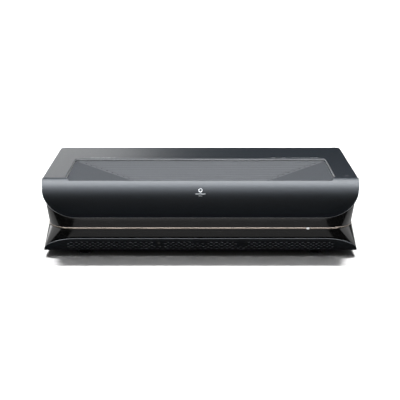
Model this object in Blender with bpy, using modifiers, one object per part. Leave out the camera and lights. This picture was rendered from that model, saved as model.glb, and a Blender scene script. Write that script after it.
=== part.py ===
"""Ultra-short-throw home projector: a long, low cabinet with a motor-driven sliding lens cover.

The cabinet stands on four levelling feet and faces -Y, with +X to its right as seen from the front
and +Z up. The origin is the centre of its footprint, on the surface that it stands on.
"""
import math

import bmesh
import bpy
from mathutils import Matrix, Vector

MM = 0.001
GAP = 0.3 * MM                      # between pieces that touch

# Driving dimensions of the cabinet
WIDTH = 600 * MM
DEPTH = 347 * MM
HEIGHT = 152 * MM
WALL = 2.5 * MM                     # moulded walls
DECK = 2.6 * MM                     # thickness of the top deck
FRONT = -DEPTH / 2
REAR = DEPTH / 2
SIDE = WIDTH / 2

# Heights of the stacked bands, from the base up
PAN_BOTTOM = 12.5 * MM
PAN_TOP = 15.5 * MM
BASE_TIP = 13.5 * MM                # where the base corners come to a point
TRIM_MIDDLE = 54.7 * MM
TRIM_HALF = 1.3 * MM
SKIRT_EDGE = 104 * MM               # lower edge of the cover's side skirts
WING_TIP = 142 * MM                 # where visor and skirt come to a point at the corner

# Plan of the waist
WAIST_FRONT = -157 * MM
WAIST_HALF = 295 * MM               # half width at the trim line, where the waist is narrowest
WAIST_FLARE = 4.5 * MM              # extra half width at the deck and at the base
CORNER_X = 50 * MM                  # front corner's half axes at the trim line
CORNER_Y = 63 * MM
SHARP = 3 * MM                      # front corner's half axes at the tips
REAR_CORNER = 22 * MM

# Deck, recess and visor
CREASE = -150 * MM                  # deck meets visor here
RECESS_HALF = 256 * MM
RECESS_REAR = 35 * MM
RECESS_DEPTH = 4 * MM
RECESS_CORNER = -139 * MM           # the recess narrows in front of this
RECESS_FRONT_HALF = 247 * MM
VISOR_LIP = 77 * MM
VISOR_END = 65 * MM                 # half axes of the visor's rounded ends
VISOR_THICK = 2.6 * MM

# Sliding lens cover and its drive
COVER_TOP = HEIGHT - RECESS_DEPTH
COVER_THICK = 3 * MM
COVER_TRAVEL = 125 * MM
DRIVE_MODULE = 1.25 * MM
DRIVE_TEETH = 12
DRIVE_RADIUS = DRIVE_MODULE * DRIVE_TEETH / 2
DRIVE_X = 243.5 * MM
DRIVE_Y = 28 * MM
RACK_PITCH_LINE = 140.8 * MM

# Optics
OPTIC_Z = 72 * MM
FOCUS_MODULE = 1.5 * MM
FOCUS_TEETH = 48
FOCUS_PINION_TEETH = 12
FOCUS_Y = 6 * MM

# Feet
FOOT_X = 224 * MM
FOOT_FRONT_Y = -124 * MM
FOOT_REAR_Y = 130 * MM
STEM_RADIUS = 4 * MM

# Controls
BUTTON = (279 * MM, -135 * MM)
BUTTON_RADIUS = 4.2 * MM

# Rear sockets: name, centre x, outer width and height, hollow width and height, depth of the hollow
SOCKET_FLOOR = 55.3 * MM
SOCKET_DEPTH = 16 * MM
SOCKETS = (
    ("hdmi_port_a", -150, 17.0, 7.6, 14.2, 4.9, 11),
    ("hdmi_port_b", -126, 17.0, 7.6, 14.2, 4.9, 11),
    ("hdmi_port_c", -102, 17.0, 7.6, 14.2, 4.9, 11),
    ("usb_port_a", -77, 15.0, 8.0, 12.6, 5.2, 12),
    ("usb_port_b", -55, 15.0, 8.0, 12.6, 5.2, 12),
    ("network_port", -29, 16.0, 13.6, 12.0, 9.0, 12),
    ("optical_port", -5, 11.0, 11.0, 7.0, 7.0, 9),
    ("power_inlet", 180, 32.0, 25.0, 26.0, 18.0, 14),
)
PANEL_HALF = 245.5 * MM
PANEL_LOW = 24.5 * MM
PANEL_HIGH = 140.8 * MM
PANEL_FACE = 170.5 * MM
PANEL_THICK = 3 * MM


def clear_scene():
    for old in list(bpy.data.objects):
        bpy.data.objects.remove(old)


def new_collection(name):
    collection = bpy.data.collections.new(name)
    bpy.context.scene.collection.children.link(collection)
    return collection


def finish(name, color, roughness, metallic=0.0):
    """A Principled material of one colour."""
    made = bpy.data.materials.new(name)
    made.use_nodes = True
    shader = made.node_tree.nodes["Principled BSDF"]
    shader.inputs["Base Color"].default_value = (*color, 1)
    shader.inputs["Roughness"].default_value = roughness
    shader.inputs["Metallic"].default_value = metallic
    return made


clear_scene()
PARTS = new_collection("home_projector")
CUTTERS = new_collection("cutters")

PAINT = ("painted_shell", (0.045, 0.05, 0.055), 0.32, 0.6)
GLOSS = ("gloss_black", (0.006, 0.006, 0.006), 0.06)
SATIN = ("satin_black", (0.02, 0.021, 0.023), 0.45)
GOLD = ("champagne_trim", (0.55, 0.44, 0.35), 0.25, 1.0)
STEEL = ("plain_steel", (0.5, 0.5, 0.5), 0.35, 1.0)
ALLOY = ("bare_aluminium", (0.6, 0.6, 0.61), 0.4, 1.0)
COPPER = ("copper_pipe", (0.7, 0.35, 0.2), 0.3, 1.0)
GLASS = ("coated_glass", (0.1, 0.12, 0.16), 0.03)
MIRROR = ("mirror_coat", (0.85, 0.85, 0.86), 0.03, 1.0)
BOARD = ("circuit_board", (0.01, 0.09, 0.04), 0.5)
LIGHT = ("white_light", (0.9, 0.9, 0.9), 0.2)
RUBBER = ("foot_rubber", (0.012, 0.012, 0.012), 0.8)
NYLON = ("white_nylon", (0.75, 0.74, 0.7), 0.5)
ENAMEL = ("badge_metal", (0.5, 0.52, 0.54), 0.3, 1.0)


def add_piece(name, mesh, look, location=(0, 0, 0), turn=None):
    """Adds a mesh as a named piece, or as a cutter when it has no look."""
    piece = bpy.data.objects.new(name, mesh)
    home = PARTS if look else CUTTERS
    home.objects.link(piece)
    piece.matrix_world = Matrix.Translation(location) @ (turn or Matrix.Identity(4))
    if look:
        mesh.materials.clear()
        mesh.materials.append(finish(f"{name}_{look[0]}", *look[1:]))
    else:
        piece.hide_render = True
        piece.display_type = "WIRE"
    return piece


def tidy_mesh(work):
    """Welds a bmesh, points its faces outwards and returns it as a mesh."""
    bmesh.ops.remove_doubles(work, verts=work.verts, dist=0.001 * MM)
    bmesh.ops.recalc_face_normals(work, faces=work.faces)
    mesh = bpy.data.meshes.new("shape")
    work.to_mesh(mesh)
    work.free()
    mesh.shade_smooth()
    mesh.set_sharp_from_angle(angle=math.radians(35))
    return mesh


FACING = {
    "Z": Matrix.Identity(4),
    "Y": Matrix.Rotation(math.radians(90), 4, "X"),
    "X": Matrix(((0, 0, 1, 0), (1, 0, 0, 0), (0, 1, 0, 0), (0, 0, 0, 1))),
}
AXIS = {"X": Vector((1, 0, 0)), "Y": Vector((0, 1, 0)), "Z": Vector((0, 0, 1))}


def plate(name, loops, low, high, look=None, along="Z"):
    """A flat outline, with any holes, given a thickness from low to high along an axis.

    The outline is in X and Y along Z, in X and Z along Y, and in Y and Z along X.
    """
    curve = bpy.data.curves.new(name, "CURVE")
    curve.dimensions = "2D"
    curve.fill_mode = "BOTH"
    curve.extrude = (high - low) / 2
    for loop in loops:
        spline = curve.splines.new("POLY")
        spline.points.add(len(loop) - 1)
        for point, (u, v) in zip(spline.points, loop):
            point.co = (u, v, 0, 1)
        spline.use_cyclic_u = True
    carrier = bpy.data.objects.new(name, curve)
    bpy.context.scene.collection.objects.link(carrier)
    ready = carrier.evaluated_get(bpy.context.evaluated_depsgraph_get())
    filled = bpy.data.meshes.new_from_object(ready)
    bpy.data.objects.remove(carrier)
    work = bmesh.new()
    work.from_mesh(filled)
    return add_piece(name, tidy_mesh(work), look, AXIS[along] * (low + high) / 2, FACING[along])


def box(name, low, high, look=None, rounding=0.0):
    """A box between two corners."""
    size = [b - a for a, b in zip(low, high)]
    centre = [(a + b) / 2 for a, b in zip(low, high)]
    work = bmesh.new()
    bmesh.ops.create_cube(work, size=1, matrix=Matrix.Diagonal((*size, 1)))
    piece = add_piece(name, tidy_mesh(work), look, centre)
    if rounding:
        bevel = piece.modifiers.new("rounding", "BEVEL")
        bevel.width = rounding
        bevel.segments = 2
    return piece


def rod(name, radius, low, high, centre, look=None, along="Z", sides=32):
    """A round bar from low to high along an axis, through a point across it."""
    work = bmesh.new()
    bmesh.ops.create_cone(
        work, cap_ends=True, segments=sides, radius1=radius, radius2=radius, depth=high - low
    )
    place = FACING[along] @ Vector((*centre, 0)) + AXIS[along] * (low + high) / 2
    return add_piece(name, tidy_mesh(work), look, place, FACING[along])


def turned(name, profile, location, look=None, along="Z", steps=32):
    """A turned solid: the profile gives radius and height, from the top down its outer side."""
    mesh = bpy.data.meshes.new(name)
    edges = [(i, i + 1) for i in range(len(profile) - 1)]
    if profile[0][0] > 0:
        edges.append((len(profile) - 1, 0))
    mesh.from_pydata([(r, 0, h) for r, h in profile], edges, [])
    turns = {"Z": Matrix.Identity(4), "Y": Matrix.Rotation(math.radians(-90), 4, "X"),
             "-Y": Matrix.Rotation(math.radians(90), 4, "X")}
    piece = add_piece(name, mesh, look, location, turns[along])
    screw = piece.modifiers.new("turn", "SCREW")
    screw.steps = steps
    screw.render_steps = steps
    screw.use_merge_vertices = True
    screw.merge_threshold = 0.01 * MM
    return piece


def loft(name, sections, look=None, ring=False):
    """A skin through matching sections, capped at its ends or, for a ring, closed on itself."""
    work = bmesh.new()
    rows = [[work.verts.new(point) for point in section] for section in sections]
    count = len(rows[0])
    pairs = list(zip(rows, rows[1:]))
    if ring:
        pairs.append((rows[-1], rows[0]))
    else:
        work.faces.new(rows[0])
        work.faces.new(rows[-1])
    for row, other in pairs:
        for i in range(count):
            j = (i + 1) % count
            work.faces.new((row[i], row[j], other[j], other[i]))
    return add_piece(name, tidy_mesh(work), look)


def boolean(piece, tool, operation):
    """Cuts or joins a piece with a tool, which becomes a guide."""
    change = piece.modifiers.new(tool.name, "BOOLEAN")
    change.operation = operation
    change.object = tool
    change.solver = "EXACT"


def cut(piece, *tools):
    for tool in tools:
        boolean(piece, tool, "DIFFERENCE")


def join(piece, *tools):
    for tool in tools:
        boolean(piece, tool, "UNION")


def rectangle(left, right, low, high):
    return [(left, low), (right, low), (right, high), (left, high)]


def arc(centre, half_x, half_y, start, end, count):
    """Points of an elliptical arc, both ends included, angles in degrees."""
    angles = [math.radians(start + (end - start) * i / (count - 1)) for i in range(count)]
    return [(centre[0] + half_x * math.cos(a), centre[1] + half_y * math.sin(a)) for a in angles]


def circle(centre, radius, count=24):
    return arc(centre, radius, radius, 0, 360 - 360 / count, count)


def body_outline(z, inset=0.0):
    """Plan of the waist at a height: pinched and round at the trim line, pointed at both tips."""
    span = WING_TIP - TRIM_MIDDLE if z > TRIM_MIDDLE else TRIM_MIDDLE - BASE_TIP
    s = min(abs(z - TRIM_MIDDLE) / span, 1)
    half = WAIST_HALF + WAIST_FLARE * s - inset
    rx = max(CORNER_X * (1 - s), SHARP) - inset
    ry = max(CORNER_Y * (1 - s), SHARP) - inset
    front = WAIST_FRONT + inset
    rear = REAR - 2 * MM + 1.7 * MM * s - inset
    back = REAR_CORNER - inset
    rx, ry = max(rx, 0.4 * MM), max(ry, 0.4 * MM)
    return (arc((half - rx, front + ry), rx, ry, -90, 0, 9)
            + arc((half - back, rear - back), back, back, 0, 90, 6)
            + arc((back - half, rear - back), back, back, 90, 180, 6)
            + arc((rx - half, front + ry), rx, ry, 180, 270, 9))


def at_height(outline, z):
    return [(x, y, z) for x, y in outline]


def band(name, heights, look):
    """A wall that follows the waist through a run of heights."""
    outer = [at_height(body_outline(z), z) for z in heights]
    inner = [at_height(body_outline(z, WALL), z) for z in reversed(heights)]
    return loft(name, outer + inner, look, ring=True)


def spread(low, high, count):
    return [low + (high - low) * i / (count - 1) for i in range(count)]


# --- Casing -----------------------------------------------------------------------------------

def visor_profile():
    """Outer line of the visor in Y and Z, from the crease down to the lip."""
    start, lean, bulge, end = (
        Vector(p) * MM for p in ((-150, 152), (-168, 147), (-184.95, 118), (-163.5, 77))
    )
    line = []
    for i in range(17):
        t = i / 16
        line.append(
            (1 - t) ** 3 * start + 3 * (1 - t) ** 2 * t * lean + 3 * (1 - t) * t ** 2 * bulge + t ** 3 * end
        )
    return line


def inside(line, distance):
    """The same line, moved sideways towards the cabinet."""
    moved = []
    for i, point in enumerate(line):
        along = (line[min(i + 1, len(line) - 1)] - line[max(i - 1, 0)]).normalized()
        moved.append(point + distance * Vector((-along.y, along.x)))
    return moved


def recess_outline(clear=0.0, front=FRONT):
    """Plan of the recess, which narrows at its front corners."""
    slope = (RECESS_HALF - RECESS_FRONT_HALF) / (RECESS_CORNER + 165 * MM)
    narrow = RECESS_HALF - slope * (RECESS_CORNER - front)
    half = RECESS_HALF - clear
    return [(clear - narrow, front), (narrow - clear, front), (half, RECESS_CORNER),
            (half, RECESS_REAR - clear), (-half, RECESS_REAR - clear), (-half, RECESS_CORNER)]


def badge_place():
    """The badge lies on the visor's slope, a little above its foremost line."""
    return Matrix.Translation((0, -171.4 * MM, 127 * MM)) @ Matrix.Rotation(math.radians(-14), 4, "X")


def make_front_visor():
    outer = visor_profile()
    inner = [(min(y, CREASE), z) for y, z in inside(outer, VISOR_THICK)]
    profile = outer + inner[::-1]
    visor = plate("front_visor", [profile], -SIDE, SIDE, PAINT, "X")
    low, high = VISOR_LIP - 5 * MM, WING_TIP
    for side in (-1, 1):
        corner = (side * (SIDE - VISOR_END), high)
        line = arc(corner, side * VISOR_END, VISOR_END, -90, 0, 13)
        past = side * (SIDE + 5 * MM)
        outline = [(line[0][0], low)] + line + [(past, high), (past, low)]
        cut(visor, plate(f"visor_end_{side}", [outline], -0.2, -0.12, along="Y"))
    floor = COVER_TOP - COVER_THICK - 0.5 * MM
    cut(visor, plate("visor_recess", [recess_outline(front=-0.18)], floor, HEIGHT + 5 * MM))
    pocket = box("badge_pocket", (-11.3 * MM, -10 * MM, -8.3 * MM), (11.3 * MM, 1.6 * MM, 8.3 * MM))
    pocket.matrix_world = badge_place() @ pocket.matrix_world
    cut(visor, pocket)


def make_top_cover():
    def outline(side_inset, rear_inset):
        half = SIDE - side_inset
        rear = REAR - rear_inset
        r = REAR_CORNER
        return ([(-half, CREASE + GAP), (half, CREASE + GAP)]
                + arc((half - r, rear - r), r, r, 0, 90, 7)
                + arc((r - half, rear - r), r, r, 90, 180, 7))

    layers = ((SKIRT_EDGE, 0, 0), (WING_TIP, 0, 0), (146 * MM, 0, 2 * MM), (149.5 * MM, 0.4 * MM, 6.5 * MM),
              (151.2 * MM, 1.2 * MM, 11.5 * MM), (HEIGHT, 2.6 * MM, 17 * MM))
    cover = loft("top_cover", [at_height(outline(a, b), z) for z, a, b in layers], PAINT)
    ceiling = HEIGHT - DECK
    hollow = ((SKIRT_EDGE - 1 * MM, 0, 0), (143 * MM, 0, 0.5 * MM), (ceiling, 1.2 * MM, 10 * MM))
    front_open = [
        [(x, y if y > 0 else y - 10 * MM, z) for x, y, z in at_height(outline(a + WALL, b + WALL), z)]
        for z, a, b in hollow
    ]
    cut(cover, loft("cover_hollow", front_open))
    wing = arc((-85 * MM, WING_TIP), 65 * MM, WING_TIP - SKIRT_EDGE, 180, 270, 11)
    below = [(-0.16, WING_TIP)] + wing + [(-85 * MM, 0.1), (-0.16, 0.1)]
    cut(cover, plate("cover_wing", [below], -0.32, 0.32, along="X"))
    cut(cover, plate("cover_recess", [recess_outline(front=-0.18)], ceiling - 1 * MM, HEIGHT + 5 * MM))
    cut(cover, rod("button_hole", 4.6 * MM, 0.14, 0.16, BUTTON))
    cut(cover, box("cover_rear_window", (-0.246, 0.15, 0.09), (0.246, 0.18, 141.1 * MM)))


def rear_window(name):
    return box(name, (-0.246, 0.15, 24.2 * MM), (0.246, 0.18, 0.16))


def make_upper_waist():
    top = WING_TIP - 1 * MM
    waist = band("upper_waist", spread(TRIM_MIDDLE + TRIM_HALF + GAP, top, 8), GLOSS)
    clear = 0.5 * MM
    wing = arc((-85 * MM, WING_TIP - clear), 65 * MM, WING_TIP - SKIRT_EDGE, 180, 270, 11)
    above = wing + [(0.2, SKIRT_EDGE - clear), (0.2, 0.16), (-0.15, 0.16)]
    cut(waist, plate("waist_wing", [above], -0.32, 0.32, along="X"))
    cut(waist, box("waist_front_top", (-0.228, -0.18, 0.098), (0.228, -0.13, 0.16)))
    cut(waist, rear_window("waist_rear_window"))
    for side in (-1, 1):
        ends = sorted((side * 0.285, side * 0.31))
        cut(waist, box(f"vent_window_{side}", (ends[0], -0.062, 0.06), (ends[1], 0.122, 0.1)))


def make_trim_ring():
    low, high = TRIM_MIDDLE - TRIM_HALF, TRIM_MIDDLE + TRIM_HALF
    proud = -1 * MM
    rings = [body_outline(TRIM_MIDDLE, inset) for inset in (proud, WALL)]
    sections = [at_height(rings[0], low), at_height(rings[0], high),
                at_height(rings[1], high), at_height(rings[1], low)]
    trim = loft("trim_ring", sections, GOLD, ring=True)
    cut(trim, rear_window("trim_rear_window"))
    cut(trim, box("light_pocket", (0.202, -0.165, 0.05), (0.208, -0.156, 0.06)))
    box("status_light", (0.2023, -0.158, low), (0.2077, -0.1563, high), LIGHT)


def make_lower_waist():
    waist = band("lower_waist", spread(BASE_TIP, TRIM_MIDDLE - TRIM_HALF - GAP, 6), GLOSS)
    cut(waist, box("sound_window", (-0.232, -0.17, 15.8 * MM), (0.232, -0.15, 0.033)))
    cut(waist, box("lower_rear_window", (-0.246, 0.15, 24.2 * MM), (0.246, 0.18, 0.16)))


def make_base_pan():
    half, front, rear, r, nose = 0.2957, -0.154, 0.1685, 0.019, 0.006
    outline = (arc((nose - half, front + nose), nose, nose, 180, 270, 4)
               + arc((half - nose, front + nose), nose, nose, -90, 0, 4)
               + arc((half - r, rear - r), r, r, 0, 90, 6)
               + arc((r - half, rear - r), r, r, 90, 180, 6))
    holes = [circle((x, y), STEM_RADIUS + GAP) for x in (-FOOT_X, FOOT_X) for y in (FOOT_FRONT_Y, FOOT_REAR_Y)]
    for x in (-0.15, 0.15):
        holes += [rectangle(x - 0.03, x + 0.03, y, y + 0.004) for y in spread(-0.022, 0.055, 8)]
    plate("base_pan", [outline] + holes, PAN_BOTTOM, PAN_TOP, SATIN)


def make_front_grille():
    """A sloping skin whose top edge arcs down to a point at each end."""
    top, low, reach = 36.5 * MM, PAN_BOTTOM, 299.3 * MM
    flat = 0.235
    end = arc((flat, BASE_TIP), reach - flat, top - BASE_TIP, 90, 4, 12)
    right = end + [(reach, BASE_TIP), (reach - 2 * MM, low)]
    left = [(-x, z) for x, z in reversed(right)]
    outline = [(x, z - top) for x, z in left + right]
    skin = plate("front_grille", [outline], 0, 2.2 * MM, PAINT, "Y")
    lean = math.atan2(3.7 * MM, top - low)
    skin.matrix_world = (Matrix.Translation((0, -163.5 * MM, top)) @ Matrix.Rotation(lean, 4, "X")
                         @ skin.matrix_world)
    cut(skin, rod("sensor_hole", 2.6 * MM, -0.17, -0.15, (-0.079, 0.027), along="Y"))
    rod("remote_sensor", 2.2 * MM, -0.161, -0.157, (-0.079, 0.027), GLASS, "Y", 20)


def make_vent_grilles():
    face = WAIST_HALF - WALL - GAP
    for name, side in (("left_vent_grille", -1), ("right_vent_grille", 1)):
        holes = [rectangle(y, y + 0.054, z, z + 0.003)
                 for y in (-0.059, 0.003, 0.065) for z in spread(0.062, 0.095, 7)]
        ends = sorted((side * face, side * (face - 2.2 * MM)))
        plate(name, [rectangle(-0.066, 0.126, 0.0575, 0.1025)] + holes, *ends, SATIN, "X")


def make_rear_panel():
    holes = []
    for _, x, width, height, *_ in SOCKETS:
        half = width * MM / 2 + GAP
        low = SOCKET_FLOOR - GAP
        holes.append(rectangle(x * MM - half, x * MM + half, low, low + height * MM + 2 * GAP))
    for left in (-0.236, 0.05):
        holes += [rectangle(left, left + 0.07, z, z + 0.0036) for z in spread(0.098, 0.126, 5)]
    outline = rectangle(-PANEL_HALF, PANEL_HALF, PANEL_LOW, PANEL_HIGH)
    plate("rear_panel", [outline] + holes, PANEL_FACE - PANEL_THICK, PANEL_FACE, SATIN, "Y")


def make_badge():
    badge = box("front_badge", (-11 * MM, 0, -8 * MM), (11 * MM, 1.2 * MM, 8 * MM), ENAMEL, 0.4 * MM)
    badge.matrix_world = badge_place() @ badge.matrix_world


# --- Sliding lens cover -----------------------------------------------------------------------

def make_lens_cover():
    panel = plate("lens_cover", [recess_outline(0.6 * MM, -158 * MM)],
                  COVER_TOP - COVER_THICK, COVER_TOP, PAINT)
    for side in (-1, 1):
        ends = sorted((side * 0.2515, side * 0.261))
        join(panel, box(f"cover_tongue_{side}", (ends[0], -0.13, 0.144), (ends[1], 0.0334, 0.1456)))


def make_cover_rails():
    """Channels that hold the cover's side tongues, with a shelf that closes the gap beside the well."""
    section = [(234, 136.5), (264.5, 136.5), (264.5, 148.9), (257.2, 148.9), (257.2, 146.4), (262, 146.4),
               (262, 143.3), (258, 143.3), (258, 141.3), (262, 141.3), (262, 138.5), (234, 138.5)]
    for name, side in (("left_cover_rail", -1), ("right_cover_rail", 1)):
        outline = [(side * x * MM, z * MM) for x, z in section]
        rail = plate(name, [outline], -0.142, 0.16, SATIN, "Y")
        ends = sorted((side * 0.2, side * 0.262))
        cut(rail, box(f"{name}_shelf_end", (ends[0], 0.012, 0.13), (ends[1], 0.17, 0.14)))


def tooth_half_angle(radius, pitch_radius, teeth, slim):
    """Half the angle that an involute tooth fills at a radius, for 20 degrees of pressure angle."""
    pressure = math.radians(20)
    base = pitch_radius * math.cos(pressure)
    at = math.acos(min(base / max(radius, base), 1))
    return (math.pi / (2 * teeth) * slim + math.tan(pressure) - pressure) - (math.tan(at) - at)


def gear_outline(teeth, module, slim=0.82):
    """A spur gear with a tooth gap on +X, its teeth slimmed for backlash."""
    pitch = module * teeth / 2
    radii = (pitch - 1.25 * module, pitch, pitch + 0.9 * module)
    outline = []
    for tooth in range(teeth):
        middle = 2 * math.pi * (tooth + 0.5) / teeth
        halves = [(r, tooth_half_angle(r, pitch, teeth, slim)) for r in radii]
        for r, half in halves:
            outline.append((r * math.cos(middle - half), r * math.sin(middle - half)))
        for r, half in reversed(halves):
            outline.append((r * math.cos(middle + half), r * math.sin(middle + half)))
    return outline


def make_cover_drive():
    pitch = math.pi * DRIVE_MODULE
    tip = RACK_PITCH_LINE - 0.9 * DRIVE_MODULE
    root = RACK_PITCH_LINE + 1.25 * DRIVE_MODULE
    quarter = pitch / 4 * 0.82
    slope = math.tan(math.radians(20))
    teeth = []
    for i in range(-33, 2):
        y = DRIVE_Y + i * pitch
        wide = quarter + slope * (root - RACK_PITCH_LINE)
        narrow = quarter - slope * (RACK_PITCH_LINE - tip)
        teeth += [(y - wide, root), (y - narrow, tip), (y + narrow, tip), (y + wide, root)]
    back = COVER_TOP - COVER_THICK - GAP
    rack = [(teeth[0][0] - 1 * MM, back), (teeth[0][0] - 1 * MM, root)] + teeth
    rack += [(teeth[-1][0] + 1 * MM, root), (teeth[-1][0] + 1 * MM, back)]
    plate("cover_rack", [rack], DRIVE_X - 3 * MM, DRIVE_X + 3 * MM, NYLON, "X")

    axle = (0, DRIVE_Y, RACK_PITCH_LINE - DRIVE_RADIUS)
    pinion = plate("cover_pinion", [gear_outline(DRIVE_TEETH, DRIVE_MODULE)], -3.5 * MM, 3.5 * MM, NYLON)
    pinion.matrix_world = (Matrix.Translation((DRIVE_X, *axle[1:])) @ FACING["X"]
                           @ Matrix.Rotation(math.radians(90), 4, "Z"))
    stub = rod("pinion_stub", 2 * MM, DRIVE_X - 9 * MM, DRIVE_X, axle[1:], along="X", sides=16)
    join(pinion, stub)
    motor = rod("cover_motor", 9 * MM, 0.196, DRIVE_X - 9 * MM - GAP, axle[1:], STEEL, "X")
    flange = box("motor_flange", (0.226, DRIVE_Y - 0.014, axle[2] - 9.5 * MM),
                 (0.23, DRIVE_Y + 0.014, axle[2] + 9.5 * MM))
    join(motor, flange)


# --- Optics -----------------------------------------------------------------------------------

def make_lens_well():
    def rim(half, front, rear, z):
        return at_height(rectangle(-half, half, front, rear), z)

    well = box("lens_well", (-0.232, -0.149, 0.1403), (0.232, -0.02, 0.1423), SATIN)
    join(well, loft("well_tub", [rim(0.122, -0.141, -0.046, 0.118), rim(0.16, -0.146, -0.03, 0.1421)]))
    cut(well, loft("well_pocket", [rim(0.1165, -0.1362, -0.0505, 0.1168), rim(0.1592, -0.1445, -0.0318, 0.1436)]))
    box("window_glass", (-0.121, -0.14, 0.1147), (0.121, -0.047, 0.1177), GLASS, 0.5 * MM)


def make_mirror():
    mirror = box("projection_mirror", (-0.082, -0.146, 0.018), (0.082, -0.1, 0.112), MIRROR, 2 * MM)
    work = bmesh.new()
    bmesh.ops.create_uvsphere(work, u_segments=48, v_segments=24, radius=0.15)
    cut(mirror, add_piece("mirror_bowl", tidy_mesh(work), None, (0, 0.01, 0.085)))


def make_lens():
    barrel = [(0, 58), (33, 58), (33, 40), (30, 38), (30, 12), (28, 10), (28, -26), (24, -28), (0, -28)]
    turned("lens_barrel", [(r * MM, h * MM) for r, h in barrel], (0, 0, OPTIC_Z), SATIN, "Y")
    dome = arc((0, 0), 23 * MM, 10 * MM, 90, 0, 6)
    lens = [(0, dome[0][1])] + dome[1:] + [(23 * MM, -2 * MM), (0, -2 * MM)]
    turned("front_lens", lens, (0, -30.4 * MM, OPTIC_Z), GLASS, "-Y")
    ring = gear_outline(FOCUS_TEETH, FOCUS_MODULE)
    centre = (0, FOCUS_Y, OPTIC_Z)
    turn = Matrix.Rotation(math.pi / FOCUS_TEETH, 4, "Z")
    focus = plate("focus_ring", [ring, circle((0, 0), 30.5 * MM, 48)], -4 * MM, 4 * MM, NYLON)
    focus.matrix_world = Matrix.Translation(centre) @ FACING["Y"] @ turn
    span = (FOCUS_TEETH + FOCUS_PINION_TEETH) * FOCUS_MODULE / 2
    pinion = plate("focus_pinion", [gear_outline(FOCUS_PINION_TEETH, FOCUS_MODULE)], -4.5 * MM, 4.5 * MM, NYLON)
    pinion.matrix_world = Matrix.Translation((span, FOCUS_Y, OPTIC_Z)) @ FACING["Y"]
    stub = rod("focus_stub", 2 * MM, FOCUS_Y, FOCUS_Y + 9 * MM, (span, OPTIC_Z), along="Y", sides=16)
    join(pinion, stub)
    rod("focus_motor", 9 * MM, FOCUS_Y + 9 * MM + GAP, FOCUS_Y + 40 * MM, (span, OPTIC_Z), STEEL, "Y")


def make_light_engine():
    box("engine_housing", (-0.07, 0.0585, 0.03), (0.07, 0.13, 0.112), ALLOY, 3 * MM)
    board = box("chip_board", (-0.045, 0.1303, 0.036), (0.045, 0.1325, 0.106), BOARD)
    join(board, box("chip_spreader", (-0.024, 0.132, 0.05), (0.024, 0.136, 0.092)))
    box("laser_module", (-0.15, 0.066, 0.04), (-0.0703, 0.126, 0.1), ALLOY, 2 * MM)
    fins = []
    pitch, thick, count = 5 * MM, 2 * MM, 14
    for i in range(count):
        left = -0.225 + i * pitch
        fins += [(left, 0.094), (left, 0.034), (left + thick, 0.034), (left + thick, 0.094)]
    right = -0.225 + (count - 1) * pitch + thick
    sink = [(-0.225, 0.1), *fins, (right, 0.1)]
    plate("heat_sink", [sink], 0.066, 0.126, ALLOY, "Y")
    for name, y in (("front_heat_pipe", 0.085), ("rear_heat_pipe", 0.107)):
        curve = bpy.data.curves.new(name, "CURVE")
        curve.dimensions = "3D"
        curve.bevel_depth = 3 * MM
        curve.bevel_resolution = 2
        curve.use_fill_caps = True
        spline = curve.splines.new("POLY")
        route = [(-0.08, 0.1033), (-0.145, 0.1033), (-0.153, 0.1045), (-0.162, 0.1045), (-0.22, 0.1045)]
        spline.points.add(len(route) - 1)
        for point, (x, z) in zip(spline.points, route):
            point.co = (x, y, z, 1)
        pipe = bpy.data.objects.new(name, curve)
        PARTS.objects.link(pipe)
        curve.materials.append(finish(f"{name}_copper", *COPPER[1:]))


# --- Cooling, sound and electronics -------------------------------------------------------------

def make_fan(side_name, side, centre_y):
    """A square axial fan whose axle lies along X. The rotor turns about that axle."""
    size, bore, depth = 76 * MM, 35 * MM, 20 * MM
    centre = Vector((side * 0.252, centre_y, 0.066))
    outline = rectangle(-size / 2, size / 2, -size / 2, size / 2)
    frame = plate(f"{side_name}_fan_frame", [outline, circle((0, 0), bore, 40)], -depth / 2, depth / 2, SATIN)
    frame.matrix_world = Matrix.Translation(centre) @ FACING["X"]
    work = bmesh.new()
    bmesh.ops.create_cone(work, cap_ends=True, segments=24, radius1=14 * MM, radius2=14 * MM, depth=3 * MM)
    hub = add_piece(f"{side_name}_fan_mount", tidy_mesh(work), None)
    hub.matrix_world = Matrix.Translation(centre - Vector((8.5 * MM, 0, 0))) @ FACING["X"]
    join(frame, hub)
    for i in range(2):
        work = bmesh.new()
        bmesh.ops.create_cube(work, size=1, matrix=Matrix.Diagonal((74 * MM, 4 * MM, 2.4 * MM, 1)))
        strut = add_piece(f"{side_name}_fan_strut_{i}", tidy_mesh(work), None)
        strut.matrix_world = (Matrix.Translation(centre - Vector((8.5 * MM, 0, 0))) @ FACING["X"]
                              @ Matrix.Rotation(math.radians(45 + 90 * i), 4, "Z"))
        join(frame, strut)

    work = bmesh.new()
    bmesh.ops.create_cone(work, cap_ends=True, segments=28, radius1=15 * MM, radius2=15 * MM, depth=14 * MM)
    rotor = add_piece(f"{side_name}_fan_rotor", tidy_mesh(work), SATIN)
    rotor.matrix_world = Matrix.Translation(centre + Vector((1.5 * MM, 0, 0))) @ FACING["X"]
    work = bmesh.new()
    blades = 7
    for i in range(blades):
        blade = (Matrix.Rotation(2 * math.pi * i / blades, 4, "Z") @ Matrix.Translation((23.5 * MM, 0, 0))
                 @ Matrix.Rotation(math.radians(38), 4, "X") @ Matrix.Diagonal((20 * MM, 18 * MM, 1.6 * MM, 1)))
        bmesh.ops.create_cube(work, size=1, matrix=blade)
    vanes = add_piece(f"{side_name}_fan_blades", tidy_mesh(work), None)
    vanes.matrix_world = rotor.matrix_world.copy()
    join(rotor, vanes)


def racetrack(centre, width, height, y):
    r = height / 2
    x, z = centre
    line = (arc((x + width / 2 - r, z), r, r, -90, 90, 9) + arc((x - width / 2 + r, z), r, r, 90, 270, 9))
    return [(u, y, v) for u, v in line]


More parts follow.
